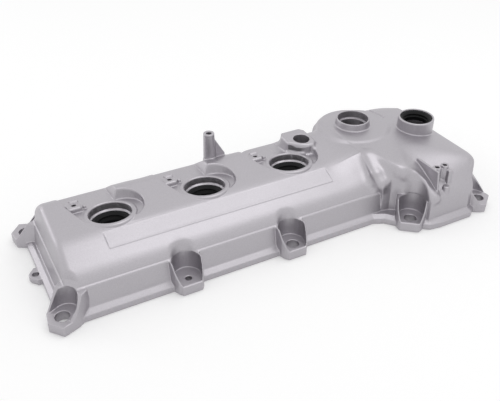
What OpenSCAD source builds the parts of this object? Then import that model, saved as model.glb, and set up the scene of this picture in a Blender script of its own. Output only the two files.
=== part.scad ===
// Engine valve cover with a timing case end: one light alloy casting, three plug
// wells, a filler neck, a sensor tube, posts, rubber seals, gasket and breather baffle.
// X runs along the wells to the timing end, Y away from the sloping label side, Z up.

/* [Overall size] */
// Distance between neighbouring plug wells
well_pitch = 106; // [98:1:128]
// Height of the plug well rims over the gasket face
rim_height = 58; // [50:1:70]
// Half width of the flange beside the wells
half_width = 81; // [74:1:98]
// Length of the timing end behind the last boss pair
timing_length = 122; // [104:1:146]
// How far the timing case stands out in front of the flange
timing_reach = 41; // [34:1:50]

/* [Casting] */
// Thickness of the vaulted walls
wall = 4; // [3.2:0.1:5]
// Thickness of the flange
flange_t = 7; // [5.5:0.5:9]
// Height of the bolt boss floors over the gasket face
boss_floor = 11.3; // [9:0.1:14]
// Outer rounding of the vault edges
edge_r = 6; // [4:0.5:7]
// Backward lean of the plug wells
well_tilt = 6.5; // [4:0.5:8]

/* [Plug wells and seals] */
// Radius of the upper well bore
well_r = 22; // [18:0.5:23.5]
// Depth of the upper well bore down to the seal
well_step = 8; // [6:0.5:10]
// Metal around each well
well_wall = 3.5; // [3:0.1:4.5]
// Height of the plug seals
seal_h = 14; // [10:0.5:18]
// Inner radius of the plug seal lips
seal_lip_r = 14; // [11:0.5:15.5]

/* [Openings and posts] */
// Radius of the filler neck bore
filler_r = 16.2; // [14:0.1:19]
// Outer radius of the sensor tube
tube_r = 21.5; // [19:0.5:24]
// Radius of the breather hole
breather_r = 9.5; // [7:0.5:11]
// Radius of the large flange bolt holes
bolt_r = 7; // [5.5:0.1:7.6]
// Height of the standoff post over the gasket face
post_top = 93; // [84:1:104]

/* [Hidden] */
$fn = 72;
eps = 0.01;

// lengthwise stations
x_left = -well_pitch - 80;
x_main = well_pitch + 80;
x_right = x_main + timing_length;
well_x = [-well_pitch, 0, well_pitch];
b2_x = -0.532 * well_pitch;
b3_x = 0.609 * well_pitch;

// heights
top_z = rim_height + 8.5;
crease_z = rim_height - 25;
shoulder_z = rim_height - 16;

// crosswise stations
y_front = -half_width;
y_back = half_width;
wall_y = half_width - 5;
y_timing = y_front - timing_reach;
y_rear = half_width + 9;
strip_back = [-29, rim_height + 1.5];
strip_front = [-48.6, rim_height - 6.5];

// fits
groove_w = 3.6;
groove_d = 4.2;
baffle_t = 1.5;
baffle_z = 30;
screw_r = 2;
screw_head_r = 4.2;

// the model stands on its gasket face, centred by its own outline
x_low = x_left - 12.6;
x_high = x_right + 10.4;
y_low = y_timing - 0.6;
y_high = y_rear + 9.5;
shift = [-(x_low + x_high) / 2, -(y_low + y_high) / 2, 0];

// flat helpers
function unit(v) = v / norm(v);
function out_of(v) = [v[1], -v[0]];
function inset(p, d) = [for (i = [0:len(p) - 1])
    let (a = p[(i + len(p) - 1) % len(p)], b = p[i], c = p[(i + 1) % len(p)],
         m = out_of(unit(b - a)) + out_of(unit(c - b)))
    b - 2 * d * m / (m * m)];
function arc_at(a, b, c, r, n) =
    let (u = unit(a - b), v = unit(c - b), half = acos(u * v) / 2,
         o = b + unit(u + v) * r / sin(half),
         s = (b + u * r / tan(half) - o) / r, e = (b + v * r / tan(half) - o) / r,
         w = acos(s * e))
    [for (k = [0:n]) o + r * (sin((1 - k / n) * w) * s + sin(k / n * w) * e) / sin(w)];
function rounded(p, r, n = 4) = [for (i = [0:len(p) - 1])
    each arc_at(p[(i + len(p) - 1) % len(p)], p[i], p[(i + 1) % len(p)], r, n)];

// cross sections as [y, z] loops
function main_loop(low) = [[-wall_y + 0.18 * (low - 6), low],
    [wall_y - 0.15 * (low - 6), low], [wall_y - 5.5, shoulder_z],
    [38, top_z + 0.5], strip_back, strip_front, [-wall_y + 10, shoulder_z],
    [-wall_y + 5, crease_z]];
function timing_loop(low) = [[y_timing + 6 + 0.08 * (low - 6), low],
    [y_rear - 4 - 0.33 * (low - 6), low], [68, rim_height + 2],
    [52, top_z], [-72, top_z], [y_timing + 8.5, rim_height - 20]];

// plan of the flange and of the gasket line, both counterclockwise
flange_plan = [[x_left, y_front], [x_main - 14, y_front], [x_main - 3, y_front - 5],
               [x_main + 5, y_front - 14], [x_main + 24, y_timing + 4],
               [x_main + 50, y_timing], [x_right - 28, y_timing],
               [x_right, y_timing + 20], [x_right, y_rear - 14], [x_right - 14, y_rear],
               [x_main - 2, y_rear], [x_main - 14, y_back], [x_left, y_back]];
seal_in = 9.8;
seal_plan = [[x_left + seal_in, y_front + 21], [x_left + 21, y_front + seal_in],
             [x_main + 8, y_front + seal_in], [x_main + 18.5, y_front - 3],
             [x_main + 29, y_front - 9], [x_main + 36, y_timing + seal_in],
             [x_right - 30, y_timing + seal_in], [x_right - seal_in, y_timing + 32],
             [x_right - seal_in, y_rear - 28], [x_right - 24, y_rear - seal_in],
             [x_main + 14, y_rear - seal_in], [x_main - 6, y_back - seal_in],
             [x_left + 21, y_back - seal_in], [x_left + seal_in, y_back - 21]];

// radii of a boss's hollow at the crease, halfway and at the top, with their heights
flare_plain = [[-2, 14.8], [11, 18.6], [25, 31]];
flare_tall = [[-2, 15.6], [20, 23], [36, 39]];
flare_wide = [[-2, 17], [11, 27], [36, 33]];
flare_corner = [[-2, 16.2], [4, 21.5], [35, 26]];

// bolt bosses as [x, y, turn, hole radius, flare]; the turn takes the outlet from -Y
wall_bosses = [[b2_x, y_front + 1, 0, 3.25, flare_plain],
               [b3_x, y_front, 0, bolt_r - 0.5, flare_plain],
               [x_main + 20, y_front - 21.5, -39, bolt_r - 0.15, flare_tall],
               [x_right - 5, y_timing + 15, 38, bolt_r - 0.5, flare_wide],
               [x_right - 5, y_rear - 9, 142, bolt_r - 0.5, flare_wide],
               [b2_x, y_back - 1, 180, bolt_r - 0.5, flare_plain],
               [b3_x, y_back, 180, bolt_r - 0.5, flare_plain],
               [x_main - 2, y_rear - 2, 180, bolt_r - 0.5, flare_tall]];
corner_bosses = [[x_left + 3.5, y_front + 6.5, -52, bolt_r, flare_corner],
                 [x_left + 3.5, y_back - 6.5, -128, bolt_r, flare_corner]];
bosses = concat(wall_bosses, corner_bosses);

module at_boss(b) {
    translate([b[0], b[1], 0]) rotate([0, 0, b[2]]) children();
}

module along_x(profile, x0, x1) {
    translate([x0, 0, 0]) rotate([90, 0, 90]) linear_extrude(x1 - x0) polygon(profile);
}

module along_y(profile, y0, y1) {
    translate([0, y1, 0]) rotate([90, 0, 0]) linear_extrude(y1 - y0) polygon(profile);
}

// a ball at each corner of a [y, z] loop, for the rounded vaults
module balls(profile, x, lean = 0) {
    for (p = inset(profile, edge_r))
        translate([x + lean * (p[1] - 8), p[0], p[1] < crease_z / 2 ? edge_r + 0.5 : p[1]])
            sphere(edge_r, $fn = 28);
}

module main_vault() {
    hull() {
        balls(main_loop(6), x_left + 8 + edge_r, 0.1);
        balls(main_loop(6), x_main - edge_r);
    }
}

module timing_vault() {
    hull() {
        balls(timing_loop(6), x_right - 6 - edge_r, -0.08);
        balls(timing_loop(6), x_main + 40);
        for (p = [[x_main + 10, -30, top_z], [x_main + 26, -66, top_z],
                  [x_main + 16, -78, crease_z + 8], [x_main + 8, 46, top_z],
                  [x_main + 12, 60, rim_height - 1]])
            translate([p[0] + edge_r, p[1], p[2] - edge_r]) sphere(edge_r, $fn = 28);
        for (p = [[x_main + 18, y_front - 2], [x_main + 10, y_rear - 12]])
            translate([p[0], p[1], edge_r + 0.5]) sphere(edge_r, $fn = 28);
    }
}

// soft rise from the deck to the level top of the timing end
module deck_rise() {
    hull() {
        for (p = [[x_main - 40, -27, strip_back[1]], [x_main - 40, 36, top_z + 0.2],
                  [x_main - 5, -26, top_z], [x_main - 5, -60, shoulder_z + 3],
                  [x_main - 3, 42, top_z], [x_main + 14, -28, top_z],
                  [x_main + 14, 46, top_z], [x_main - 16, -56, shoulder_z + 2]])
            translate([p[0], p[1], p[2] - 3]) sphere(3, $fn = 24);
        translate([x_main - 38, -30, crease_z]) cube([50, 60, 4]);
        translate([x_main - 18, y_front + 20, crease_z - 6]) cube([26, 30, 4]);
    }
}

// lower throat that joins the two vaults, with a level ledge beside the boss
throat_in = 6;
module throat() {
    hull() {
        balls(inset(main_loop(0), throat_in), x_main - 16);
        balls(inset(main_loop(0), throat_in), x_main + 34);
    }
    linear_extrude(crease_z + 6) polygon([[x_main - 8, y_front + 21],
        [x_main - 8, y_front + 5.5], [x_main + 2, y_front + 2.5],
        [x_main + 8, y_front - 4], [x_main + 10, y_front - 12],
        [x_main + 36, y_front - 12], [x_main + 36, y_front + 21]]);
}

// chamfer between flange edge and wall, as a wedge along a straight edge
module wedge(len, t = flange_t) {
    rotate([90, 0, 90]) linear_extrude(len)
        polygon([[0, t - eps], [10, t - eps], [10, t + 3.5], [5, t + 3.5]]);
}

module flange() {
    linear_extrude(flange_t) polygon(rounded(flange_plan, 6, 3));
    translate([x_left + 12, y_front, 0]) wedge(x_main - 26 - x_left);
    translate([x_main + 44, y_timing, 0]) wedge(timing_length - 74);
    translate([x_main - 20, y_back, 0]) rotate([0, 0, 180]) wedge(x_main - 32 - x_left);
    translate([x_right - 20, y_rear, 0]) rotate([0, 0, 180]) wedge(timing_length - 26);
    translate([x_left, y_back - 16, 0]) rotate([0, 0, -90]) wedge(2 * half_width - 32);
    translate([x_right, y_timing + 26, 0]) rotate([0, 0, 90])
        wedge(y_rear - y_timing - 46);
}

// boss body seen from its hole, outlet towards -Y
boss_plan = [[-16.6, 22], [-16.6, 3], [-10.6, -11.5], [10.6, -11.5], [16.6, 3],
             [16.6, 22]];
corner_plan = [[-16.4, 22], [-16.4, 4], [-13.4, -10], [7.3, -13], [16, 3.4],
               [16.4, 22]];
cheek_t = 2;
hollow_r = 16.6 - cheek_t;
hollow_plan = concat([for (a = [0:15:180]) [hollow_r * cos(a), 3 + hollow_r * sin(a)]],
                     [[-10.6 + cheek_t, -12], [-10.6 + cheek_t, -24],
                      [10.6 - cheek_t, -24], [10.6 - cheek_t, -12]]);

// cheeks fall from the crease at y = back to the floor
module boss_body(plan, back = 3.2, fall = 58) {
    difference() {
        linear_extrude(crease_z) polygon(plan);
        translate([-30, back, crease_z + 0.4]) rotate([fall, 0, 0])
            translate([0, -60, 0]) cube([60, 60, 40]);
    }
}

module flare(h, r1, r2) {
    linear_extrude(h, scale = r2 / r1) circle(r1, $fn = 36);
}

// hollow above a boss floor, grown by g for the lining behind it
module scoop(f, g = 0, low = boss_floor) {
    translate([0, 0, low]) linear_extrude(crease_z - 1.6 - low)
        polygon(inset(hollow_plan, -g));
    for (i = [0, 1]) translate([0, 2 - i, crease_z + f[i][0]])
        flare(f[i + 1][0] - f[i][0] + (i == 0 ? 0.8 : 0), f[i][1] + g, f[i + 1][1] + g);
}

// valley between the end of the shoulder and the fourth boss
module valley(g = 0) {
    hull() {
        translate([x_main + 4, -26, top_z + 8.5]) sphere(8 + g, $fn = 28);
        translate([x_main + 8.5, y_front - 3, crease_z + 13]) sphere(9 + g, $fn = 28);
    }
}

module in_well(x) {
    translate([x, 0, rim_height]) rotate([-well_tilt, 0, 0]) children();
}

// flat seat behind each well, with a dished recess at its far side
pad_plan = [[-28, -8], [10, -20], [11, 23], [12, 64], [-47, 64], [-40, 22], [-36, 11]];
recess_x = 14;
recess_r = 18.3;
recess_flare = 1.12;

module seat_cut(g = 0) {
    translate([0, 0, -g]) linear_extrude(60) polygon(inset(pad_plan, -g));
    translate([recess_x, 0, -g])
        cylinder(20 + g, recess_r + 0.4 * g, recess_r + 20 * recess_flare + 1.4 * g);
    translate([0, 0, -g]) cylinder(60, r = well_r + 6.5 + g);
    // slope at the right end of the flat seat
    translate([0, 64, -g]) rotate([90, 0, 0]) linear_extrude(40)
        polygon([[0, 0], [11.5 + g, 0], [22.5 + g, 20 + g], [0, 20 + g]]);
}

module well_tube() {
    translate([0, 0, -rim_height + 8]) cylinder(rim_height - 8, r = well_r + well_wall);
}

module well_bore() {
    translate([0, 0, -well_step]) cylinder(60, r = well_r);
    translate([0, 0, -well_step]) cylinder(1.2, well_r - 1.6, well_r - 0.2);
    translate([0, 0, -rim_height]) cylinder(rim_height, r = well_r - 2);
}

// rubber ring of outer radius ro with a straight lower lip and a flared upper lip
module lip_ring(ro, ri, h, lip) {
    rotate_extrude() polygon([[ri + 0.9, 0], [ro, 0], [ro, h - 0.6], [ro - 0.6, h],
        [ri + 2.8, h], [ri + 0.7, h - 2.6], [ri + 0.7, h - 3.4], [ri + 2.2, h - 4.4],
        [ri, lip + 0.9], [ri, 0.9]]);
}

module seal_ring(x) {
    in_well(x) translate([0, 0, -well_step - seal_h - 1])
        lip_ring(well_r - 2, seal_lip_r, seal_h, 5);
}

coil_at = [-30, 25];

module coil_boss() {
    translate([coil_at[0], coil_at[1], -6]) {
        cylinder(12, 8, 7.2);
        translate([-12, -1, 0]) cube([12, 8, 12]);
        translate([4, 4, 0]) cube([9, 7, 9]);
    }
}

module label_strip() {
    slope = atan2(strip_back[1] - strip_front[1], strip_back[0] - strip_front[0]);
    translate([-well_pitch - 17, strip_front[0], strip_front[1]]) rotate([slope, 0, 0])
        translate([0, 0.6, -2])
        cube([2 * well_pitch + 46.5, norm(strip_back - strip_front) - 1.2, 2.6]);
}

filler_at = [x_main + 26, 27];
tube_at = [x_right - 31, -12];
breather_at = [well_pitch + 31, 24];
post_at = [28, 46];
posts_at = [x_main + 53, y_timing + 25];

module standoff_post() {
    translate([post_at[0], post_at[1], rim_height - 10])
        cylinder(post_top - rim_height + 10, 7.4, 6.2);
    translate([post_at[0], post_at[1] + 1.3, 0]) rotate([90, 0, 0]) linear_extrude(2.6)
        polygon([[0, rim_height - 6], [19, rim_height - 6], [19, rim_height + 7],
                 [5.5, post_top - 7], [0, post_top - 7]]);
}

module twin_posts() {
    translate([posts_at[0], posts_at[1], rim_height - 26]) {
        for (x = [0, 11]) translate([x, 0, 0]) cylinder(34, r = 4.6);
        translate([0, -2, 0]) cube([11, 4, 31]);
        translate([11, -9, 0]) cube([6, 9, 30]);
        translate([6, -13, 0]) cylinder(16, r = 4);
    }
    along_x([[posts_at[1] - 12, rim_height - 24], [-70, rim_height - 24],
             [-70, top_z - 1], [posts_at[1] - 10, top_z - 1]],
            posts_at[0] - 6.5, posts_at[0] - 3.5);
}

module filler_neck() {
    translate([filler_at[0], filler_at[1], 0]) {
        translate([0, 0, 8]) cylinder(top_z - 11, 47, 42);
        translate([0, 0, top_z - 2]) cylinder(12, filler_r + 5, filler_r + 3.5);
    }
}

module sensor_tube() {
    translate([tube_at[0], tube_at[1], 20])
        cylinder(rim_height + 22.5 - 20, r = tube_r);
}

module breather_pad() {
    translate([breather_at[0], breather_at[1], rim_height - 7]) linear_extrude(19)
        polygon([[-19, -1.5], [-14, -5.5], [-7, -12], [-3, -14.6], [2, -15.8], [7.5, -15.3],
                 [11.5, -12.2], [13.5, -8], [14, 15], [12, 19.5], [8, 22], [-13, 22],
                 [-17.3, 20], [-19, 16]]);
}

module ear() {
    hull() {
        translate([x_left - 3.5, 2.5, 0]) cylinder(flange_t, r = 7);
        translate([x_left + 6, 2.5, 0]) cylinder(flange_t, r = 12);
    }
}

module outside() {
    main_vault();
    throat();
    deck_rise();
    timing_vault();
    flange();
    for (b = wall_bosses) at_boss(b) boss_body(boss_plan);
    for (b = corner_bosses) at_boss(b) mirror([b[1] > 0 ? 1 : 0, 0, 0])
        boss_body(corner_plan, 13, 42);
    ear();
}

// room for the valve gear, open to the gasket face
module room() {
    shell = inset(main_loop(-20), wall);
    case = inset(timing_loop(-20), wall);
    translate([0, 0, -1]) linear_extrude(flange_t + 2)
        polygon(inset(seal_plan, groove_w / 2 + 2.4));
    intersection() {
        along_x(shell, x_left, x_main - 8);
        along_y([[x_left + 13, flange_t], [x_main, flange_t],
                 [x_main, 100], [x_left + 19, 100]], -200, 200);
    }
    intersection() {
        along_x(case, x_main, x_right);
        along_y([[x_main, flange_t], [x_right - 11, flange_t],
                 [x_right - 16, 100], [x_main, 100]], -200, 200);
        linear_extrude(100) polygon([[x_main + 17, 10], [x_main + 17, -30],
            [x_main + 26, -52], [x_main + 39, -70], [x_main + 41, -130],
            [x_right, -130], [x_right, 110], [x_main + 28, 110], [x_main + 24, 66],
            [x_main + 17, 50]]);
    }
    intersection() {
        along_x(inset(main_loop(-20), throat_in + wall), x_main - 10, x_main + 36);
        translate([x_main - 20, -200, flange_t]) cube([60, 400, 100]);
    }
    intersection() {
        along_x(shell, x_main - 10, x_main + 22);
        translate([x_main - 20, -20, flange_t]) cube([60, 64, 100]);
    }
    // clear room round the filler's inner collar
    translate([filler_at[0], filler_at[1], flange_t])
        cylinder(top_z - wall - flange_t, r = filler_r + 8);
}

module room_linings() {
    for (b = bosses) at_boss(b) scoop(b[4], 3.4, 0);
    valley(3.4);
    for (x = well_x) in_well(x) {
        seat_cut(3.4);
        well_tube();
        translate([coil_at[0], coil_at[1], -14]) cylinder(20, r = 7);
    }
    translate([filler_at[0], filler_at[1], top_z - 9]) cylinder(20, r = filler_r + 3.3);
    translate([tube_at[0], tube_at[1], 20]) cylinder(60, r = tube_r);
    translate([breather_at[0], breather_at[1], rim_height - 10])
        cylinder(20, r = breather_r + 3);
    translate([post_at[0], post_at[1], rim_height - 22]) cylinder(40, r = 7);
    // ribs under the deck between the wells
    for (x = [-1.5 * well_pitch, -0.5 * well_pitch, 0.5 * well_pitch, breather_at[0] + 12.5])
        translate([x - 1.3, -60, 42]) cube([2.6, 120, 60]);
    // bosses that carry the baffle
    for (p = baffle_bosses) translate([p[0], p[1], baffle_z]) cylinder(60, r = 5.2);
}

baffle_x0 = x_main + 10;
baffle_x1 = x_main + 74;
baffle_y0 = -38;
baffle_y1 = 56;
baffle_bosses = [[baffle_x0 + 8, baffle_y0 + 8], [baffle_x1 - 8, baffle_y0 + 8],
                 [baffle_x0 + 8, baffle_y1 - 8], [baffle_x1 - 8, baffle_y1 - 8]];

module holes() {
    for (b = bosses) at_boss(b) translate([0, 0, -1])
        cylinder(boss_floor + 2, r = b[3]);
    translate([x_left - 3.5, 2.5, -1]) cylinder(flange_t + 2, r = 3.35);
    for (x = well_x) in_well(x) {
        well_bore();
        translate([coil_at[0], coil_at[1], -8]) cylinder(20, r = 2.5);
    }
    translate([filler_at[0], filler_at[1], 20]) cylinder(80, r = filler_r);
    translate([filler_at[0], filler_at[1], top_z + 0.5]) cylinder(20, r = filler_r + 2.2);
    translate([tube_at[0], tube_at[1], 10]) cylinder(90, r = tube_r - 4.5);
    translate([tube_at[0], tube_at[1], rim_height + 10]) cylinder(40, r = tube_r - 2.5);
    translate([breather_at[0], breather_at[1], 20]) cylinder(60, r = breather_r);
    translate([post_at[0], post_at[1], post_top - 16]) cylinder(20, r = 3.1);
    for (x = [0, 11]) translate([posts_at[0] + x, posts_at[1], rim_height - 6])
        cylinder(20, r = 2.5);
    for (p = baffle_bosses) translate([p[0], p[1], baffle_z - 1])
        cylinder(12, r = screw_r);
    translate([0, 0, -1]) linear_extrude(groove_d + 1) difference() {
        polygon(rounded(inset(seal_plan, -groove_w / 2), 5, 3));
        polygon(rounded(inset(seal_plan, groove_w / 2), 5, 3));
    }
}

module cover_casting() {
    color("silver") translate(shift) difference() {
        union() {
            difference() {
                union() {
                    outside();
                    label_strip();
                    filler_neck();
                }
                for (b = bosses) at_boss(b) scoop(b[4]);
                valley();
                for (x = well_x) in_well(x) seat_cut();
                difference() {
                    room();
                    room_linings();
                }
            }
            for (x = well_x) in_well(x) {
                well_tube();
                coil_boss();
            }
            breather_pad();
            sensor_tube();
            standoff_post();
            twin_posts();
        }
        holes();
    }
}

module plug_seal_1() {
    color("black") translate(shift) seal_ring(well_x[0]);
}

module plug_seal_2() {
    color("black") translate(shift) seal_ring(well_x[1]);
}

module plug_seal_3() {
    color("black") translate(shift) seal_ring(well_x[2]);
}

module sensor_tube_seal() {
    color("black") translate(shift) translate([tube_at[0], tube_at[1], rim_height + 10])
        lip_ring(tube_r - 2.5, tube_r - 7.5, 11, 4);
}

module perimeter_gasket() {
    color("black") translate(shift) linear_extrude(groove_d) difference() {
        polygon(rounded(inset(seal_plan, -groove_w / 2), 5, 3));
        polygon(rounded(inset(seal_plan, groove_w / 2), 5, 3));
    }
}

module breather_baffle() {
    color("gray") translate(shift) translate([0, 0, baffle_z - baffle_t]) difference() {
        linear_extrude(baffle_t) polygon(rounded([[baffle_x0, baffle_y0],
            [baffle_x1, baffle_y0], [baffle_x1, baffle_y1], [baffle_x0, baffle_y1]],
            6, 4));
        for (p = baffle_bosses) translate([p[0], p[1], -1])
            cylinder(baffle_t + 2, r = screw_r);
        for (y = [-10:14:32]) translate([baffle_x0 + 18, y, -1]) cube([28, 4, 4]);
    }
}

module baffle_screws() {
    color("gray") translate(shift) for (p = baffle_bosses)
        translate([p[0], p[1], baffle_z - baffle_t]) {
            cylinder(baffle_t + 9, r = screw_r);
            translate([0, 0, -2.6]) difference() {
                cylinder(2.6, r = screw_head_r);
                translate([0, 0, -1]) cylinder(2.4, r = 1.9, $fn = 6);
            }
        }
}

cover_casting();
plug_seal_1();
plug_seal_2();
plug_seal_3();
sensor_tube_seal();
perimeter_gasket();
breather_baffle();
baffle_screws();
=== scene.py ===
"""Looks of the engine valve cover: a blasted light alloy casting with black rubber seals.

The casting's skin is grown from a distance field, so that walls, bosses and recesses run
into each other with the soft fillets of a real casting. Lengths in the field are in mm, with
X from the middle plug well, Y from the wells' axis and Z from the gasket face.
"""
import functools
import math
from collections import namedtuple

import bpy
import numpy as np
from mathutils import Matrix, Vector


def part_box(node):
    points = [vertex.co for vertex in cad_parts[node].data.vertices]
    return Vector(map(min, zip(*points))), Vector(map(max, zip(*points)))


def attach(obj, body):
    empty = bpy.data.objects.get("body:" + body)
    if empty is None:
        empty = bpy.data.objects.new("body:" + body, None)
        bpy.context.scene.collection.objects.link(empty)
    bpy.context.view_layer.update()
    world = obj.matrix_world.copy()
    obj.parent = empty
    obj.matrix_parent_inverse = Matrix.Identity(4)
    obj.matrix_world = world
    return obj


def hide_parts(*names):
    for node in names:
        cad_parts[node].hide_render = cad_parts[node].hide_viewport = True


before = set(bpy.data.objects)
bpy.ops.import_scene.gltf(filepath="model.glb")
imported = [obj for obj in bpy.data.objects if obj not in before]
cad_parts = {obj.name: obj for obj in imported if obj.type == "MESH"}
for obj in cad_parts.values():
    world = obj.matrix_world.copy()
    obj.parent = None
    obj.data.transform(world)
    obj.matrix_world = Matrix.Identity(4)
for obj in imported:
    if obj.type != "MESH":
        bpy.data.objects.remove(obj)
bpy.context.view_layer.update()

# from the casting's own coordinates to the frame's
SHIFT = np.array((-59.9, 11.55, 0.0))

# the grid of the distance field: its spacing, lowest corner and highest corner
STEP = 0.75
LOW = np.array((-201.0, -125.0, -2.4))
HIGH = np.array((321.0, 102.0, 95.6))
MOST_TRIANGLES = 190000
# turn in degrees from which a corner of the mesh is shaded as sharp
SHARP_CORNER = 38

# main sizes of the casting: thickness of wall and flange, and heights of the parting line,
# the bosses' floors, the level top and the wells' rims
WALL = 4.0
FLANGE_T = 7
CREASE = 33.0
FLOOR = 11.3
TOP = 66.5
RIM = 58.0
# how far the skin above the parting line is set back
SET_BACK = 1.3

# plug wells along X, the backward lean of their axes, and their own sizes
WELLS = (-106.0, 0.0, 106.0)
TILT = math.radians(6.5)
WELL_R = 22
WELL_DEPTH = 8
WELL_BORE_R = 20
COLLAR_R = 27.6
# radii of the well's chamfered rim and of the chamfer down to its lower bore
RIM_R = 22.6
STEP_R = 20.3
# dish beside a well: its centre, its radius level with the pad, its depth and its flare
DISH_AT = (14, 3.5)
DISH_R = 22.6
DISH_DEPTH = 1.8
DISH_FLARE = 0.22
# place of a coil's screw from its well, and the radius of its hole
COIL = (-30.0, 25.0)
COIL_HOLE_R = 2.5

# places and sizes of the tall post, twin posts, filler neck, tall tube, breather hole, ear,
# and inside of the baffle's posts and the ribs under the deck
POST = (28.0, 46.0)
POST_TOP = 93
POST_HOLE_R = 3.1
TWIN = (239.0, -97.0)
TWIN_GAP = 11
TWIN_HOLE_R = 2.5
FILLER = (212.0, 27.0)
NECK_TOP = 76.5
NECK_R = 18.4
THROAT_R = 16.2
TUBE = (277.0, -12.0)
TUBE_TOP = 80.5
TUBE_R = 21.5
TUBE_SEAT_R = 19
TUBE_BORE_R = 17
BREATHER = (137.0, 24.0)
BREATHER_R = 9.5
EAR = (-189.5, 2.5)
EAR_R = 7
EAR_HOLE_R = 3.35
BAFFLE_POSTS = [(204, -30), (252, -30), (204, 48), (252, 48)]
BAFFLE_HOLE_R = 2
RIBS = (-159, -53, 53, 150.5)

# half the width and the depth of the gasket's groove, and the land beside it
GROOVE_HALF = 1.8
GROOVE_DEPTH = 4.2
LAND = 4.2


# distance field on a regular grid

def axis_points(low, high):
    return np.arange(low, high + STEP, STEP, dtype=np.float32)


GX, GY, GZ = (axis_points(low, high) for low, high in zip(LOW, HIGH))
WHOLE = tuple(zip(LOW, HIGH))


def smax(a, b, k):
    """Larger of two distances, with the meeting edge rounded over about k."""
    k = np.maximum(k, 1e-4)
    h = np.maximum(k - np.abs(a - b), 0) / k
    return (np.maximum(a, b) + h * h * k * 0.25).astype(np.float32)


def smin(a, b, k):
    return -smax(-a, -b, k)


def both(*parts, k=0.0):
    out = parts[0]
    for p in parts[1:]:
        out = smax(out, p, k)
    return out


def soft(t):
    """Smooth step from 0 to 1."""
    t = np.clip(t, 0, 1)
    return t * t * (3 - 2 * t)


def swing(x, start, length):
    """Smooth step over a length."""
    return soft((x - start) / length)


def window(box):
    """Index ranges and open coordinate arrays of the grid inside a box."""
    cut = []
    for axis, (low, high) in zip((GX, GY, GZ), box):
        a = int(np.searchsorted(axis, low))
        b = int(np.searchsorted(axis, high)) + 1
        cut.append(slice(max(a - 1, 0), min(b, len(axis))))
    x = GX[cut[0]][:, None, None]
    y = GY[cut[1]][None, :, None]
    z = GZ[cut[2]][None, None, :]
    return tuple(cut), x, y, z


def near(x, y, r, low=-5.0, high=100.0):
    """Upright box with half side r round a place."""
    return ((x - r, x + r), (y - r, y + r), (low, high))


def add(field, box, shape, k=0.0):
    cut, x, y, z = window(box)
    field[cut] = smin(field[cut], shape(x, y, z), k)


def cut_out(field, box, shape, k=0.0):
    cut, x, y, z = window(box)
    field[cut] = smax(field[cut], -shape(x, y, z), k)


# shapes as distances, negative inside

def half(u, v, a, b):
    """Inside is on the right of the line from a to b."""
    du, dv = b[0] - a[0], b[1] - a[1]
    n = math.hypot(du, dv)
    return ((u - a[0]) * -dv + (v - a[1]) * du) / n


def chain(u, v, points, radii):
    """Convex outline, inside on the right, each corner with its own rounding."""
    d = half(u, v, points[0], points[1])
    for a, b, r in zip(points[1:], points[2:], radii):
        d = smax(d, half(u, v, a, b), r)
    return d


def outline(u, v, points):
    """Exact distance to a closed outline of any form."""
    best = np.float32(1e9)
    inside = np.zeros(np.broadcast(u, v).shape, bool)
    for (ax, ay), (bx, by) in zip(points, points[1:] + points[:1]):
        ex, ey = bx - ax, by - ay
        wx, wy = u - ax, v - ay
        t = np.clip((wx * ex + wy * ey) / (ex * ex + ey * ey), 0, 1)
        best = np.minimum(best, (wx - t * ex) ** 2 + (wy - t * ey) ** 2)
        if ay != by:
            inside ^= ((v >= ay) != (v >= by)) & (u < ax + (v - ay) * ex / (by - ay))
    d = np.sqrt(best)
    return np.where(inside, -d, d)


def between(w, low, high):
    return np.maximum(low - w, w - high)


def disc(x, y, cx, cy, r):
    return np.sqrt((x - cx) ** 2 + (y - cy) ** 2) - r


def drum(x, y, z, cx, cy, r, low, high, k=0.0):
    return smax(disc(x, y, cx, cy, r), between(z, low, high), k)


def cone(x, y, z, cx, cy, z0, r0, z1, r1):
    """Distance to the slanted side of a cone on an upright axis."""
    slope = (r1 - r0) / (z1 - z0)
    return (disc(x, y, cx, cy, r0) - slope * (z - z0)) / math.hypot(1, slope)


def rod(x, y, z, a, b):
    """Round rod between two points given as (x, y, z, radius)."""
    e = [b[i] - a[i] for i in range(3)]
    n = sum(w * w for w in e)
    t = np.clip(((x - a[0]) * e[0] + (y - a[1]) * e[1] + (z - a[2]) * e[2]) / n, 0, 1)
    d = np.sqrt((x - a[0] - t * e[0]) ** 2 + (y - a[1] - t * e[1]) ** 2
                + (z - a[2] - t * e[2]) ** 2)
    return d - (a[3] + t * (b[3] - a[3]))


def brick(x, y, z, low, high, r=0.0):
    """Box from its low to its high corner, with edges of radius r."""
    q = [np.abs(w - (a + b) / 2) - (b - a) / 2 + r
         for w, a, b in zip((x, y, z), low, high)]
    outer = np.sqrt(sum(np.maximum(p, 0) ** 2 for p in q))
    return outer + np.minimum(np.maximum(np.maximum(q[0], q[1]), q[2]), 0) - r


# makers of shapes that repeat

def crest(points, k):
    """Rounded ridge along points given as (x, y, z, radius)."""
    def shape(x, y, z):
        rods = [rod(x, y, z, a, b) for a, b in zip(points, points[1:])]
        return functools.reduce(lambda c, d: smin(c, d, k), rods)
    return shape


def column(place, r, low, high):
    return lambda x, y, z: drum(x, y, z, *place, r, low, high)


def bore(place, r, low=None, high=None):
    """Round upright hole, which goes on where no low or high end is given."""
    def shape(x, y, z):
        d = disc(x, y, *place, r)
        if low is not None:
            d = smax(d, low - z, 0)
        if high is not None:
            d = smax(d, z - high, 0)
        return d
    return shape


def either(a, b):
    return lambda x, y, z: np.minimum(a(x, y, z), b(x, y, z))


# main outline of the casting

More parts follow.
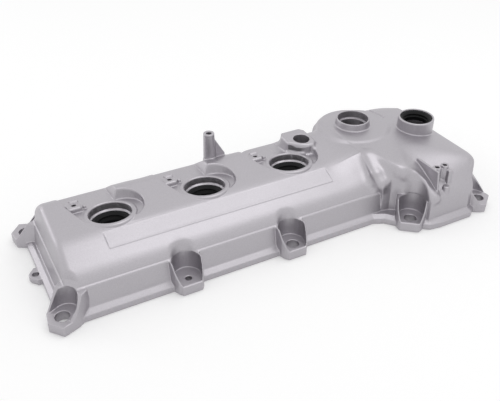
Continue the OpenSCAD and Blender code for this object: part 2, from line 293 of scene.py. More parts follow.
# cross section of the long vault as (y, z), front to back, and the rounding of its corners
SHOULDER = (-66, 42)
SLOPE_FOOT = (-48.6, 51.5)
SLOPE_TOP = (-29, 59.5)
MAIN = [(-76.5, 4), (-71, CREASE), SHOULDER, SLOPE_FOOT, SLOPE_TOP, (38, 67), (70.5, 42),
        (76.5, 4)]
MAIN_ROUND = [1.0, 5, 1.2, 2.0, 8, 9]
MAIN_LEFT = -178
MAIN_RIGHT = 186
# lean of the left wall and of the timing end's wall, and the height from which they lean
LEFT_LEAN = 0.12
WALL_LEAN = 0.05
LEAN_FROM = 8
# rises of the deck, the slope and the shoulder, and of the shoulder at the timing end
DECK_RISE, SLOPE_RISE, SHOULDER_RISE, END_RISE = 0.112, 0.41, 0.546, 0.69
# the climb to the timing end starts at this X and takes this length, and ends short of the
# back wall, at this Y, over this width
CLIMB_FROM, CLIMB_LENGTH = 138, 46
CLIMB_BACK, CLIMB_FADE = 60, 22

# rise and run of the ledge on the flange, and the length of its slope
LEDGE_RISE, LEDGE_RUN, LEDGE_SLOPE = 3.5, 5, 6.1

# plans of the flange, of the timing end's wall and of the gasket's line
FLANGE = [(-180, -81), (172, -81), (183, -86), (191, -95), (205, -106), (222, -120),
          (236, -122), (280, -122), (308, -102), (308, 76), (294, 90), (184, 90), (172, 81),
          (-180, 81), (-186, 75), (-186, -75)]
TIMING = [(181, -60), (185, -75), (195, -77), (205, -84), (214, -92), (222, -116),
          (278, -116), (301, -106), (307, -96), (307, 85), (190, 85), (178, 66)]
SEAL = [(-176.2, -60), (-165, -71.2), (194, -71.2), (204.5, -84), (215, -90), (222, -112.2),
        (278, -112.2), (298.2, -90), (298.2, 62), (284, 80.2), (200, 80.2), (180, 71.2),
        (-165, 71.2), (-176.2, 60)]

# front edge of the timing end's top: its Y at the left, then swings as (from X, length, move)
EDGE_START = -30
EDGE_SWINGS = ((180, 10, -8), (187, 18, -40), (208, 14, 5.5))
EDGE_TO_RIGHT = -20
# slope of the top's front at the left, and what is added at the fourth boss and at the right
FRONT_SLOPE = 0.55
BOSS_SLOPE = 0.137
RIGHT_SLOPE = 0.65
# how far the top sinks towards the right end
RIGHT_SINK = 6.5

# crest where the long vault runs out against the timing end, and the rounded rim over the
# hollow of the fourth front boss
END_RIDGE = [(188, -38, 60, 5), (184.5, -60, 51.5, 5.5), (184, -68, 44.5, 5.5)]
BOSS_RIM = [(203, -76, 57, 2.0), (209, -81, 56, 4.0), (217, -86, 54, 4.5), (224, -95, 47, 4.5),
            (229, -112, 36, 4.5)]


def line(y, point, rise):
    return point[1] + (y - point[0]) * rise


def end_climb(x, y):
    """Rise of the deck to the level top, which it reaches near the timing end."""
    deck = np.minimum(line(y, SLOPE_TOP, DECK_RISE), line(y, SLOPE_TOP, SLOPE_RISE))
    deck = np.minimum(deck, line(y, SHOULDER, SHOULDER_RISE))
    climb = np.clip(np.minimum(TOP, line(y, SHOULDER, END_RISE)) - deck, 0, None)
    return swing(x, CLIMB_FROM, CLIMB_LENGTH) * climb * soft((CLIMB_BACK - y) / CLIMB_FADE)


def main_vault(x, y, z):
    z = z - end_climb(x, y)
    section = chain(y, z, MAIN, MAIN_ROUND)
    left = (MAIN_LEFT + LEFT_LEAN * (z - LEAN_FROM) - x) / math.hypot(1, LEFT_LEAN)
    return smax(smax(section, left, 8), x - MAIN_RIGHT, 2)


def timing_vault(x, y, z):
    wall = outline(x, y, TIMING) + WALL_LEAN * (z - LEAN_FROM)
    # the top's front edge swings forward round the fourth boss, and its fall gets steeper
    along = np.clip((x - 236) / 60, 0, 1)
    edge = EDGE_START
    for start, length, move in EDGE_SWINGS:
        edge = edge + move * swing(x, start, length)
    edge = edge + EDGE_TO_RIGHT * along
    steep = FRONT_SLOPE + BOSS_SLOPE * swing(x, 188, 20) + RIGHT_SLOPE * along ** 1.5
    z = z + RIGHT_SINK * np.clip((x - 245) / 55, 0, 1.2) ** 2
    front = (z - TOP - steep * (y - edge)) / np.sqrt(1 + steep * steep)
    front_round = 6 + 14 * swing(x, 212, 20) - 8 * swing(x, 250, 40)
    d = smax(front, z - TOP, front_round)
    d = smax(d, half(y, z, (58, TOP), (78, 40)), 14)
    d = smax(d, half(x, z, (304.5, TOP), (307, 10)), 6)
    return smax(d, wall, 5)


def filler_rise(x, y, z):
    return smax(cone(x, y, z, *FILLER, 8, 50, TOP, 42), z - TOP, 3)


def flange(x, y, z):
    """Flat flange with a sloping ledge along the foot of the wall."""
    plan = outline(x, y, FLANGE)
    plate = both(plan, z - FLANGE_T, -z, k=0.8)
    slope = (plan * LEDGE_RISE + (z - FLANGE_T) * LEDGE_RUN) / LEDGE_SLOPE
    ledge = both(slope, plan, z - FLANGE_T - LEDGE_RISE, 3 - z)
    return smin(plate, ledge, 0.5)


# bolt bosses, each a pocket with falling cheeks under a hollow that flares up into the vault

def half_round(cx, cy, r):
    return [(cx + r * math.cos(math.radians(a)), cy + r * math.sin(math.radians(a)))
            for a in range(0, 181, 12)]


SIDE_PLAN = [(-16.6, 22), (-16.6, 3), (-15.6, -2.6), (-13.4, -7.6), (-10.4, -11.5),
             (10.4, -11.5), (13.4, -7.6), (15.6, -2.6), (16.6, 3), (16.6, 22)]
SIDE_HOLLOW = half_round(0, 3, 14.8) + [(-13.8, -2.6), (-11.6, -7.6), (-8.6, -11.5), (-8.6, -24),
                                        (8.6, -24), (8.6, -11.5), (11.6, -7.6), (13.8, -2.6)]
CORNER_PLAN = [(-15, 22), (-15, 8), (-16.4, -3.4), (-6.4, -13.8), (10.8, -13.2), (16, 3.4),
               (16, 22)]
CORNER_HOLLOW = half_round(0.4, 5, 13) + [(-14.4, -3), (-22, -10), (-10, -24), (9, -24),
                                          (10.2, -1)]

# a kind of boss: its plan, its hollow, the flare as (height, radius), the fall of the cheeks
# in degrees and how far behind the hole they start to fall
Kind = namedtuple("Kind", "plan hollow flare fall start")
SIDE = Kind(SIDE_PLAN, SIDE_HOLLOW, ((CREASE, 15.8), (44, 18.8), (50, 25), (60, 36)), 58, 3.2)
TALL = SIDE._replace(flare=((CREASE, 15.4), (50, 16.0), (58, 17.4), (67, 22)))
WIDE = SIDE._replace(flare=((CREASE, 18), (44, 27), (60, 29), (67, 33)))
END = SIDE._replace(flare=((CREASE, 13.4), (54, 13.8), (60, 16.5), (67, 22)), fall=50, start=13)
CORNER = Kind(CORNER_PLAN, CORNER_HOLLOW, ((CREASE, 14.2), (38, 20.0), (50, 22.5), (70, 26)),
              55, 13)

# a boss: its place, the turn of its outlet in degrees, its hole's radius and its kind
Boss = namedtuple("Boss", "x y turn hole kind mirrored", defaults=(SIDE, False))
SLEEVE_R = 6.5
# how far a boss's forms reach from its hole
BOSS_REACH = 42
FLARE_REACH = 50
BOSSES = [Boss(-182.5, -74.5, -52, 7.0, CORNER),
          Boss(-182.5, 74.5, -128, 7.0, CORNER, True),
          Boss(-56.4, -80, 0, 3.25),
          Boss(64.5, -81, 0, SLEEVE_R),
          Boss(206, -102.5, -39, 6.85, TALL),
          Boss(303, -107, 38, SLEEVE_R, END),
          Boss(303, 81, 142, SLEEVE_R, WIDE),
          Boss(-56.4, 80, 180, SLEEVE_R),
          Boss(64.5, 81, 180, SLEEVE_R),
          Boss(184, 88, 180, SLEEVE_R, TALL)]


def local(boss, x, y):
    """Across and behind a boss's hole, as its outlet is turned."""
    a = math.radians(boss.turn)
    u = (x - boss.x) * math.cos(a) + (y - boss.y) * math.sin(a)
    v = -(x - boss.x) * math.sin(a) + (y - boss.y) * math.cos(a)
    return (-u if boss.mirrored else u), v


def boss_body(boss):
    fall = math.radians(boss.kind.fall)

    def shape(x, y, z):
        u, v = local(boss, x, y)
        # cheeks fall from the crease towards the floor's front edge
        slope = (z - CREASE - 0.4) * math.cos(fall) - (v - boss.kind.start) * math.sin(fall)
        top = smax(np.minimum(slope, z - FLOOR), z - CREASE + 0.2, 1.0)
        return both(outline(u, v, boss.kind.plan), top, -z, k=0.9)
    return shape


def boss_hollow(boss):
    def shape(x, y, z):
        plan = outline(*local(boss, x, y), boss.kind.hollow)
        return both(plan, FLOOR - z, z - CREASE - 0.5, k=1.0)
    return shape


def boss_flare(boss):
    heights, radii = zip(*boss.kind.flare)

    def shape(x, y, z):
        r = np.interp(z, heights, radii).astype(np.float32)
        return both((disc(*local(boss, x, y), 0, 2, 0) - r) * 0.85, CREASE - z)
    return shape


# plug wells and their seats, in each well's own leaning frame: u across, v behind, w along it

SEAT_PLAN = [(-28, -8), (10, -20), (11, 23), (12, 64), (-47, 64), (-40, 22), (-36, 11)]


def lean(y, z):
    v = y * math.cos(TILT) - (z - RIM) * math.sin(TILT)
    w = y * math.sin(TILT) + (z - RIM) * math.cos(TILT)
    return v, w


def seat(cx):
    """Room over the pad behind a well, the dish at its right and the slanting side behind."""
    def shape(x, y, z):
        v, w = lean(y, z)
        u = x - cx
        pad = both(outline(u, v, SEAT_PLAN), -w, k=0.8)
        side = (disc(u, v, *DISH_AT, DISH_R) - DISH_FLARE * w) * 0.977
        dish = both(side, -w - DISH_DEPTH, k=1.4)
        ramp = both(half(u, w, (22.5, 20), (11.5, 0)), -w, -u, 24 - v, v - 66)
        return smin(smin(pad, dish, 1.4), ramp, 2.0)
    return shape


def collar(cx):
    def shape(x, y, z):
        v, w = lean(y, z)
        return both(disc(x, v, cx, 0, COLLAR_R), w, -10 - w, k=1.6)
    return shape


def well_tube(cx):
    def shape(x, y, z):
        v, w = lean(y, z)
        return both(disc(x, v, cx, 0, 25.5), between(w, -50, 0))
    return shape


def well_hole(cx):
    def shape(x, y, z):
        v, w = lean(y, z)
        r = disc(x, v, cx, 0, 0)
        # upper bore, its chamfered rim, and the cone from it down to the lower bore
        upper = both(r - WELL_R, -WELL_DEPTH - w)
        rim = both((r - RIM_R - w) * 0.707, -2 - w, w - 1.5)
        step = both((r - STEP_R - (w + 9.0) * 1.6) * 0.53, -9.0 - w, w + 7.9)
        return np.minimum(np.minimum(upper, rim), np.minimum(step, r - WELL_BORE_R))
    return shape


def coil_boss(cx):
    """Stepped boss for a coil's screw, with a lower lug, a rib and a small lug beside it."""
    def shape(x, y, z):
        v, w = lean(y, z)
        u = x - cx - COIL[0]
        v = v - COIL[1]
        d = brick(u, v, w, (-8.5, -7.5, -8), (6.5, 7.5, 5.6), 2.5)
        d = smin(d, brick(u, v, w, (-14, 1, -8), (-2, 12, 4.0), 1.5), 1.5)
        d = smin(d, brick(u, v, w, (-3, 5.5, -8), (6.5, 11, 7.2), 1.2), 1.0)
        return smin(d, brick(u, v, w, (8.6, -3.5, -8), (12.0, 1.2, 3.4), 1.0), 0.6)
    return shape


def coil_column(cx):
    def shape(x, y, z):
        v, w = lean(y, z)
        return both(disc(x, v, cx + COIL[0], COIL[1], 7), between(w, -14, -1))
    return shape


def coil_hole(cx):
    def shape(x, y, z):
        v, w = lean(y, z)
        return both(disc(x, v, cx + COIL[0], COIL[1], COIL_HOLE_R), -8 - w)
    return shape


# other forms of the casting

# bare strip along the slope: its ends in X, its edges up the slope and its depth
STRIP_X = (-123, 135.5)
STRIP_UP = (0.5, 20.4)
STRIP_DEPTH = 0.8

BREATHER_PLAN = [(118, 22.5), (123, 18.5), (130, 12), (137, 8), (145, 8.5), (150, 14),
                 (151, 40), (146, 46), (122, 46), (118, 40)]


def strip(x, y, z):
    """Shallow recess of the bare strip on the slope."""
    a = math.atan2(SLOPE_TOP[1] - SLOPE_FOOT[1], SLOPE_TOP[0] - SLOPE_FOOT[0])
    u = (y - SLOPE_FOOT[0]) * math.cos(a) + (z - SLOPE_FOOT[1]) * math.sin(a)
    w = -(y - SLOPE_FOOT[0]) * math.sin(a) + (z - SLOPE_FOOT[1]) * math.cos(a)
    return both(between(u, *STRIP_UP), between(x, *STRIP_X),
                between(w, -(SET_BACK + STRIP_DEPTH), 4), k=0.3)


def breather_pad(x, y, z):
    top = (z - 68.6 - 0.05 * (y - BREATHER[1])) * 0.99
    return both(outline(x, y, BREATHER_PLAN), top, 50 - z, k=3.5)


def ear(x, y, z):
    root = brick(x, y, 0 * z, (-190, -8, -9), (-172, 13, 9))
    plan = smin(disc(x, y, *EAR, EAR_R), root, 6)
    return both(plan, between(z, 0, FLANGE_T), k=0.8)


def standoff(x, y, z):
    """Tall post with a web at its right."""
    post = both(cone(x, y, z, *POST, 48, 7.4, POST_TOP, 6.2), z - POST_TOP, 48 - z, k=0.6)
    web = both(between(y, 44.7, 47.3), x - 47, POST[0] - x,
               half(x, z, (33.5, 86), (47, 63)), 50 - z, k=0.8)
    return smin(post, web, 1.6)


def twin_posts(x, y, z):
    """Two screw posts with a plate between them, a lug, a small fitting and a long web."""
    left, right = (drum(x, y, z, TWIN[0] + dx, TWIN[1], 4.6, 34, 66, 0.6)
                   for dx in (0, TWIN_GAP))
    d = smin(left, right, 0.6)
    d = smin(d, brick(x, y, z, (239, -99, 34), (250, -95, 63), 0.5), 0.6)
    d = smin(d, brick(x, y, z, (249.5, -106, 34), (256, -97, 62), 0.8), 0.6)
    d = smin(d, drum(x, y, z, 245, -110, 4, 34, 47, 1.2), 1.0)
    web = both(between(x, 232.3, 235), z - 65.7, 34 - z, y + 70,
               half(y, z, (-110, 40), (-106.5, 66)), k=0.8)
    return smin(d, web, 1.0)


def neck(x, y, z):
    side = cone(x, y, z, *FILLER, 64.5, 21.5, NECK_TOP, 20.1)
    return both(side, between(z, 57.5, NECK_TOP), k=0.5)


def tube(x, y, z):
    return drum(x, y, z, *TUBE, TUBE_R, 20, TUBE_TOP, 1.6)


def raised_arc(x, y, z):
    angle = np.degrees(np.arctan2(y - FILLER[1], x - FILLER[0]))
    return both(np.abs(disc(x, y, *FILLER, 48)) - 1.2, z - TOP - 0.8, TOP - 2 - z,
                (np.abs(angle - 14) - 14) * 0.8, k=0.5)


def deck_rib(cx):
    def shape(x, y, z):
        return both(np.abs(x - cx) - 1.3, np.abs(y) - 60, 42 - z, z - 50 + 0.2 * np.abs(y - 8))
    return shape


def gasket_groove(x, y, z):
    return both(np.abs(outline(x, y, SEAL)) - GROOVE_HALF, z - GROOVE_DEPTH)


# the casting as one field, in the order in which its forms are added and cut

def main_form():
    """Outside without bosses and flange, which the even wall follows."""
    _, x, y, z = window(WHOLE)
    f = main_vault(x, y, z)
    f = f + SET_BACK * np.clip((z - CREASE) / 0.5 + 0.5, 0, 1)
    f = smin(f, timing_vault(x, y, z), 0)
    f = smin(f, filler_rise(x, y, z), 6)
    add(f, ((160, 212), (-92, -14), (20, 84)), crest(END_RIDGE, 2), 12)
    add(f, ((178, 244), (-124, -64), (18, 78)), crest(BOSS_RIM, 1.5), 6)
    return f


def cut_hollows(f, flare_round):
    for b in BOSSES:
        cut_out(f, near(b.x, b.y, FLARE_REACH), boss_flare(b), flare_round)
        cut_out(f, near(b.x, b.y, BOSS_REACH, high=38), boss_hollow(b), 0.8)


def seat_box(cx):
    return ((cx - 54, cx + 50), (-34, 84), (40, 80))


def outer_form(inner):
    f = inner.copy()
    for b in BOSSES:
        add(f, near(b.x, b.y, BOSS_REACH, high=40), boss_body(b), 0.8)
    add(f, WHOLE, flange, 1.2)
    add(f, near(*EAR, 26, high=12), ear, 0.5)
    cut_hollows(f, 2.4)
    for cx in WELLS:
        cut_out(f, seat_box(cx), seat(cx), 1.3)
        add(f, seat_box(cx), collar(cx), 0.6)
    return f


def hollow_out(f, inner):
    """Cut the room for the valve gear, with an even wall and a land round the gasket."""
    cut_hollows(inner, 3)
    for cx in WELLS:
        cut_out(inner, seat_box(cx), seat(cx), 1.3)
    _, x, y, z = window(WHOLE)
    land = np.minimum(outline(x, y, SEAL) + LAND, FLANGE_T - z)
    return smax(f, -np.maximum(inner + WALL, land), 1.2)


def add_inner_walls(f):
    for cx in WELLS:
        add(f, ((cx - 32, cx + 32), (-34, 34), (2, 66)), well_tube(cx), 2.0)
        add(f, ((cx - 46, cx - 14), (8, 46), (36, 66)), coil_column(cx), 1.5)
    for cx in RIBS:
        add(f, ((cx - 6, cx + 6), (-64, 64), (40, 70)), deck_rib(cx), 1.5)
    for place in BAFFLE_POSTS:
        add(f, near(*place, 12), column(place, 5.2, 30, 63), 1.5)
    add(f, near(*FILLER, 28), column(FILLER, 19.5, 57.5, 64), 1.5)
    add(f, near(*BREATHER, 24), column(BREATHER, 12.5, 48, 62), 1.5)
    add(f, near(*POST, 16), column(POST, 7, 36, 60), 1.5)


def add_fittings(f):
    for cx in WELLS:
        add(f, ((cx - 50, cx - 10), (8, 46), (44, 70)), coil_boss(cx), 0.8)
    add(f, ((100, 172), (-6, 62), (48, 76)), breather_pad, 5)
    cut_out(f, ((-128, 142), (-54, -24), (46, 64)), strip, 0.4)
    add(f, ((12, 60), (34, 58), (44, 96)), standoff, 1.8)
    add(f, ((226, 264), (-120, -60), (30, 70)), twin_posts, 1.2)
    add(f, near(*FILLER, 28, low=60), neck, 1.5)
    add(f, near(*TUBE, 30, low=16), tube, 1.5)
    add(f, ((245, 270), (20, 62), (62, 70)), raised_arc, 0.4)


def cut_holes(f):
    """Machined holes and the gasket's groove."""
    for b in BOSSES:
        cut_out(f, near(b.x, b.y, 12, high=16), bore((b.x, b.y), b.hole), 0.5)
    cut_out(f, near(*EAR, 8, high=10), bore(EAR, EAR_HOLE_R), 0.5)
    for cx in WELLS:
        cut_out(f, ((cx - 30, cx + 30), (-36, 36), (-4, 80)), well_hole(cx))
        cut_out(f, ((cx - 40, cx - 20), (10, 40), (40, 76)), coil_hole(cx), 0.5)
    cut_out(f, near(*FILLER, 22), either(bore(FILLER, THROAT_R), bore(FILLER, NECK_R, low=67)),
            0.5)
    cut_out(f, near(*TUBE, 24), either(bore(TUBE, TUBE_BORE_R, low=10),
                                       bore(TUBE, TUBE_SEAT_R, low=68)), 0.8)
    cut_out(f, near(*BREATHER, 14, low=20), bore(BREATHER, BREATHER_R), 0.6)
    cut_out(f, near(*POST, 8, low=70), bore(POST, POST_HOLE_R, low=77), 0.5)
    for dx in (0, TWIN_GAP):
        place = (TWIN[0] + dx, TWIN[1])
        cut_out(f, near(*place, 8, low=48), bore(place, TWIN_HOLE_R, low=52), 0.4)
    for place in BAFFLE_POSTS:
        cut_out(f, near(*place, 8, low=20, high=46), bore(place, BAFFLE_HOLE_R, high=41))
    cut_out(f, ((-190, 315), (-122, 96), (-4, 10)), gasket_groove)


def casting_field():
    inner = main_form()
    f = outer_form(inner)
    f = hollow_out(f, inner)
    add_inner_walls(f)
    add_fittings(f)
    cut_holes(f)
    # nothing reaches below the gasket face
    return np.maximum(f, -GZ[None, None, :])


# surface of a field

def surface(f):
    """Vertices at the mean of each cell's edge crossings, quads across the crossing edges."""
    inside = f < 0
    shape = f.shape
    cells = np.zeros(tuple(n - 1 for n in shape), np.uint8)
    for dx in (0, 1):
        for dy in (0, 1):
            for dz in (0, 1):
                cells += inside[dx:shape[0] - 1 + dx, dy:shape[1] - 1 + dy,
                                dz:shape[2] - 1 + dz]
    active = np.argwhere((cells > 0) & (cells < 8))
    index = np.full(cells.shape, -1, np.int32)
    index[tuple(active.T)] = np.arange(len(active), dtype=np.int32)
    total = np.zeros((len(active), 3), np.float32)
    count = np.zeros(len(active), np.float32)
    for axis in range(3):
        others = [a for a in range(3) if a != axis]
        for p in (0, 1):
            for q in (0, 1):
                a = active.copy()
                a[:, others[0]] += p
                a[:, others[1]] += q
                b = a.copy()
                b[:, axis] += 1
                fa, fb = f[tuple(a.T)], f[tuple(b.T)]
                hit = (fa < 0) != (fb < 0)
                t = fa[hit] / (fa[hit] - fb[hit])
                point = (a[hit] - active[hit]).astype(np.float32)
                point[:, axis] += t
                total[hit] += point
                count[hit] += 1
    vertices = (active + total / count[:, None]) * STEP
    quads = []
    for axis in range(3):
        o1, o2 = [(1, 2), (2, 0), (0, 1)][axis]
        a = [slice(1, n - 1) for n in shape]
        a[axis] = slice(0, shape[axis] - 1)
        b = list(a)
        b[axis] = slice(1, shape[axis])
        here, there = inside[tuple(a)], inside[tuple(b)]
        for flip, mask in ((0, here & ~there), (1, ~here & there)):
            e = np.argwhere(mask)
            e += [0 if i == axis else 1 for i in range(3)]
            corner = []
            for p, q in ((-1, -1), (0, -1), (0, 0), (-1, 0)):
                c = e.copy()
                c[:, o1] += p
                c[:, o2] += q
                corner.append(index[tuple(c.T)])
            quad = np.stack(corner, 1)
            quads.append(quad[:, ::-1] if flip else quad)
    return vertices + np.array([GX[0], GY[0], GZ[0]]), np.concatenate(quads)


def field_normals(f, points):
    """Directions in which the field grows, at points in mm."""
    origin = np.array([GX[0], GY[0], GZ[0]])

    def sample(p):
        g = (p - origin) / STEP
        i = np.clip(np.floor(g).astype(int), 0, np.array(f.shape) - 2)
        t = g - i
        out = 0
        for dx in (0, 1):
            for dy in (0, 1):
                for dz in (0, 1):
                    w = (np.abs(1 - dx - t[:, 0]) * np.abs(1 - dy - t[:, 1])
                         * np.abs(1 - dz - t[:, 2]))
                    out = out + w * f[i[:, 0] + dx, i[:, 1] + dy, i[:, 2] + dz]
        return out

    e = 0.55 * STEP
    n = np.stack([sample(points + d) - sample(points - d)
                  for d in np.eye(3) * e], 1)
    return n / np.maximum(np.linalg.norm(n, axis=1, keepdims=True), 1e-9)


def mesh_object(name, vertices, faces):
    mesh = bpy.data.meshes.new(name)
    n, k = faces.shape
    mesh.vertices.add(len(vertices))
    mesh.vertices.foreach_set("co", vertices.astype(np.float32).ravel())
    mesh.loops.add(n * k)
    mesh.loops.foreach_set("vertex_index", faces.astype(np.int32).ravel())
    mesh.polygons.add(n)
    mesh.polygons.foreach_set("loop_start", np.arange(0, n * k, k, dtype=np.int32))
    mesh.polygons.foreach_set("loop_total", np.full(n, k, np.int32))
    mesh.update(calc_edges=True)
    obj = bpy.data.objects.new(name, mesh)
    bpy.context.scene.collection.objects.link(obj)
    return obj


def thin_out(obj, most):
    """Bring an object under a number of triangles."""
    count = sum(len(p.vertices) - 2 for p in obj.data.polygons)
    if count > most:
        m = obj.modifiers.new("thin", "DECIMATE")
        m.ratio = most / count
        m.use_collapse_triangulate = True
        graph = bpy.context.evaluated_depsgraph_get()
        mesh = bpy.data.meshes.new_from_object(obj.evaluated_get(graph))
        obj.modifiers.clear()
        old = obj.data
        obj.data = mesh
        bpy.data.meshes.remove(old)
        mesh.name = obj.name


def corner_normals(mesh, normals, most):
    """The field's normals, but a face's own at corners where they differ by over `most` degrees."""
    loops, faces = len(mesh.loops), len(mesh.polygons)
    vertex = np.zeros(loops, np.int32)
    mesh.loops.foreach_get("vertex_index", vertex)
    start = np.zeros(faces, np.int32)
    mesh.polygons.foreach_get("loop_start", start)
    flat = np.zeros(faces * 3, np.float32)
    mesh.polygons.foreach_get("normal", flat)
    face_of = np.searchsorted(start, np.arange(loops), side="right") - 1
    own = flat.reshape(-1, 3)[face_of]
    smooth = normals[vertex]
    turned = (own * smooth).sum(1) < math.cos(math.radians(most))
    return np.where(turned[:, None], own, smooth)


def cast_skin():
    """The casting's mesh, in metres and kept a hair inside the box of its CAD node."""
    hair = 2e-5
    f = casting_field()
    vertices, quads = surface(f)
    obj = mesh_object("cast_body", vertices, quads)
    thin_out(obj, MOST_TRIANGLES)
    mesh = obj.data
    co = np.zeros(len(mesh.vertices) * 3, np.float32)
    mesh.vertices.foreach_get("co", co)
    co = co.reshape(-1, 3)
    normals = field_normals(f, co)
    low, high = (np.array(v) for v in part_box("cover_casting"))
    placed = np.clip((co + SHIFT) / 1000, low + hair, high - hair)
    mesh.vertices.foreach_set("co", placed.astype(np.float32).ravel())
    mesh.update()
    mesh.polygons.foreach_set("use_smooth", np.ones(len(mesh.polygons), bool))
    mesh.normals_split_custom_set(corner_normals(mesh, normals, SHARP_CORNER).tolist())
    return obj


# materials

# blasted skin: depth of its bumps in metres, shades of its speckle, scale of its dull patches
BUMP_DEPTH = 0.0004
SPECKLE = (0.86, 1.14)
PATCH_SCALE = 22


def material(name, colour, metallic, roughness, specular=0.5):
    m = bpy.data.materials.new(name)
    m.use_nodes = True
    shader = m.node_tree.nodes["Principled BSDF"]
    shader.inputs["Base Color"].default_value = (*colour, 1)
    shader.inputs["Metallic"].default_value = metallic
    shader.inputs["Roughness"].default_value = roughness
    shader.inputs["Specular IOR Level"].default_value = specular
    return m


def blast(m, grain, grain_scale, patch):
    """Give a material the fine bumps, speckle and faint patches of a blasted casting."""
    nodes, links = m.node_tree.nodes, m.node_tree.links
    shader = nodes["Principled BSDF"]
    colour = shader.inputs["Base Color"].default_value[:3]
    roughness = shader.inputs["Roughness"].default_value
    place = nodes.new("ShaderNodeTexCoord")
    fine = nodes.new("ShaderNodeTexNoise")
    fine.inputs["Scale"].default_value = grain_scale
    fine.inputs["Detail"].default_value = 4
    links.new(place.outputs["Object"], fine.inputs["Vector"])
    bump = nodes.new("ShaderNodeBump")
    bump.inputs["Strength"].default_value = grain
    bump.inputs["Distance"].default_value = BUMP_DEPTH
    links.new(fine.outputs["Fac"], bump.inputs["Height"])
    links.new(bump.outputs["Normal"], shader.inputs["Normal"])
    speckle = nodes.new("ShaderNodeMix")
    speckle.data_type = "RGBA"
    for socket, shade in zip((6, 7), SPECKLE):
        speckle.inputs[socket].default_value = (*(shade * c for c in colour), 1)
    links.new(fine.outputs["Fac"], speckle.inputs[0])
    links.new(speckle.outputs[2], shader.inputs["Base Color"])
    broad = nodes.new("ShaderNodeTexNoise")
    broad.inputs["Scale"].default_value = PATCH_SCALE
    broad.inputs["Detail"].default_value = 5
    links.new(place.outputs["Object"], broad.inputs["Vector"])
    tone = nodes.new("ShaderNodeMapRange")
    tone.inputs["To Min"].default_value = roughness - patch
    tone.inputs["To Max"].default_value = roughness + patch
    links.new(broad.outputs["Fac"], tone.inputs["Value"])
    links.new(tone.outputs["Result"], shader.inputs["Roughness"])


CAST = material("cast alloy, blasted", (0.455, 0.437, 0.465), metallic=0.95, roughness=0.41)
blast(CAST, grain=0.3, grain_scale=1000, patch=0.04)
RUBBER = material("moulded black rubber", (0.006, 0.006, 0.007), metallic=0.0, roughness=0.5,
                  specular=0.22)
PLATE = material("pressed steel sheet", (0.5, 0.5, 0.5), metallic=1.0, roughness=0.38)
SCREW = material("plated steel", (0.6, 0.58, 0.52), metallic=1.0, roughness=0.3)
FINISHES = {"plug_seal_1": RUBBER, "plug_seal_2": RUBBER, "plug_seal_3": RUBBER,
            "sensor_tube_seal": RUBBER, "perimeter_gasket": RUBBER,
            "breather_baffle": PLATE, "baffle_screws": SCREW}

body = cast_skin()
body.data.materials.append(CAST)
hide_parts("cover_casting")
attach(body, "root")

for node, finish in FINISHES.items():
    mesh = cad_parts[node].data
    mesh.materials.clear()
    mesh.materials.append(finish)


# studio: white surroundings, a pale floor and two broad soft lamps

# each lamp's direction from the object, radiance, side in metres and distance in metres
LAMPS = [((0.24, -0.08, 0.95), 1.15, 1.1, 1.6),
         ((-0.62, 0.70, 0.35), 1.3, 0.6, 1.6)]
ROOM_LEVEL = 0.8
FLOOR_LIFT = 0.18
FLOOR_PAINT = 0.86
# half the floor's side and how far it lies under the object, in metres
FLOOR_HALF = 4.0
FLOOR_DROP = 0.0002


def mirror_and_camera_rays(nodes, links):
    """One for rays from the camera, a glossy surface or through glass, otherwise zero."""
    path = nodes.new("ShaderNodeLightPath")
    total = path.outputs["Is Camera Ray"]
    for ray in ("Is Glossy Ray", "Is Transmission Ray"):
        step = nodes.new("ShaderNodeMath")
        step.operation = "MAXIMUM"
        links.new(total, step.inputs[0])
        links.new(path.outputs[ray], step.inputs[1])
        total = step.outputs["Value"]
    return total


def studio():
    world = bpy.data.worlds.new("studio")
    bpy.context.scene.world = world
    world.use_nodes = True
    nodes, links = world.node_tree.nodes, world.node_tree.links
    nodes.clear()
    out = nodes.new("ShaderNodeOutputWorld")
    mix = nodes.new("ShaderNodeMixShader")
    room = nodes.new("ShaderNodeBackground")
    room.inputs["Strength"].default_value = ROOM_LEVEL
    seen = nodes.new("ShaderNodeBackground")
    seen.inputs["Strength"].default_value = 1.0
    for shade in (room, seen):
        shade.inputs["Color"].default_value = (1, 1, 1, 1)
    links.new(mirror_and_camera_rays(nodes, links), mix.inputs["Fac"])
    links.new(room.outputs["Background"], mix.inputs[1])
    links.new(seen.outputs["Background"], mix.inputs[2])
    links.new(mix.outputs["Shader"], out.inputs["Surface"])


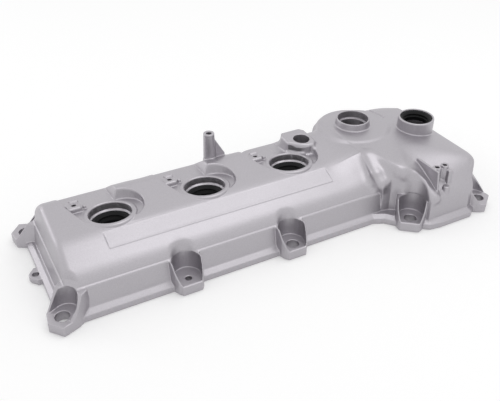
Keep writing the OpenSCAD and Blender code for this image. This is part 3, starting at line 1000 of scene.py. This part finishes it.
def pale_floor():
    corners = np.array([(-FLOOR_HALF, -FLOOR_HALF, 0), (FLOOR_HALF, -FLOOR_HALF, 0),
                        (FLOOR_HALF, FLOOR_HALF, 0), (-FLOOR_HALF, FLOOR_HALF, 0)])
    obj = mesh_object("pale_floor", corners - (0, 0, FLOOR_DROP), np.array([[0, 1, 2, 3]]))
    m = bpy.data.materials.new("pale floor")
    m.use_nodes = True
    nodes, links = m.node_tree.nodes, m.node_tree.links
    nodes.clear()
    out = nodes.new("ShaderNodeOutputMaterial")
    both_shaders = nodes.new("ShaderNodeAddShader")
    paint = nodes.new("ShaderNodeBsdfDiffuse")
    paint.inputs["Color"].default_value = (FLOOR_PAINT, FLOOR_PAINT, FLOOR_PAINT, 1)
    lift = nodes.new("ShaderNodeEmission")
    level = nodes.new("ShaderNodeMath")
    level.operation = "MULTIPLY"
    level.inputs[1].default_value = FLOOR_LIFT
    links.new(mirror_and_camera_rays(nodes, links), level.inputs[0])
    links.new(level.outputs["Value"], lift.inputs["Strength"])
    links.new(paint.outputs["BSDF"], both_shaders.inputs[0])
    links.new(lift.outputs["Emission"], both_shaders.inputs[1])
    links.new(both_shaders.outputs["Shader"], out.inputs["Surface"])
    obj.data.materials.append(m)


def lamp(way, radiance, side, distance):
    data = bpy.data.lights.new("soft lamp", "AREA")
    data.shape = "SQUARE"
    data.size = side
    data.energy = radiance * math.pi * side * side
    obj = bpy.data.objects.new("soft lamp", data)
    bpy.context.scene.collection.objects.link(obj)
    way = Vector(way).normalized()
    obj.matrix_world = (Matrix.Translation(way * distance)
                        @ way.to_track_quat("Z", "Y").to_matrix().to_4x4())


# camera fitted to the photograph: focal length and width in pixels, sensor in mm, then the
# place of the eye in metres and the directions of the picture's right, down and ahead
FOCAL_PX = 680
WIDTH_PX = 500
SENSOR = 36
EYE = (-0.307841, -0.552227, 0.460889)
RIGHT = (0.8816900, -0.4718076, 0.0045167)
DOWN = (-0.2639872, -0.5012149, -0.8240718)
AHEAD = (0.3910671, 0.7253835, -0.5664673)


def camera():
    data = bpy.data.cameras.new("camera")
    data.sensor_width = SENSOR
    data.lens = SENSOR * FOCAL_PX / WIDTH_PX
    data.clip_start = 0.01
    eye = bpy.data.objects.new("camera", data)
    bpy.context.scene.collection.objects.link(eye)
    bpy.context.scene.camera = eye
    rows = [(RIGHT[i], -DOWN[i], -AHEAD[i], EYE[i]) for i in range(3)]
    eye.matrix_world = Matrix((*rows, (0, 0, 0, 1)))


studio()
pale_floor()
for values in LAMPS:
    lamp(*values)
camera()
bpy.context.scene.view_settings.view_transform = "Standard"
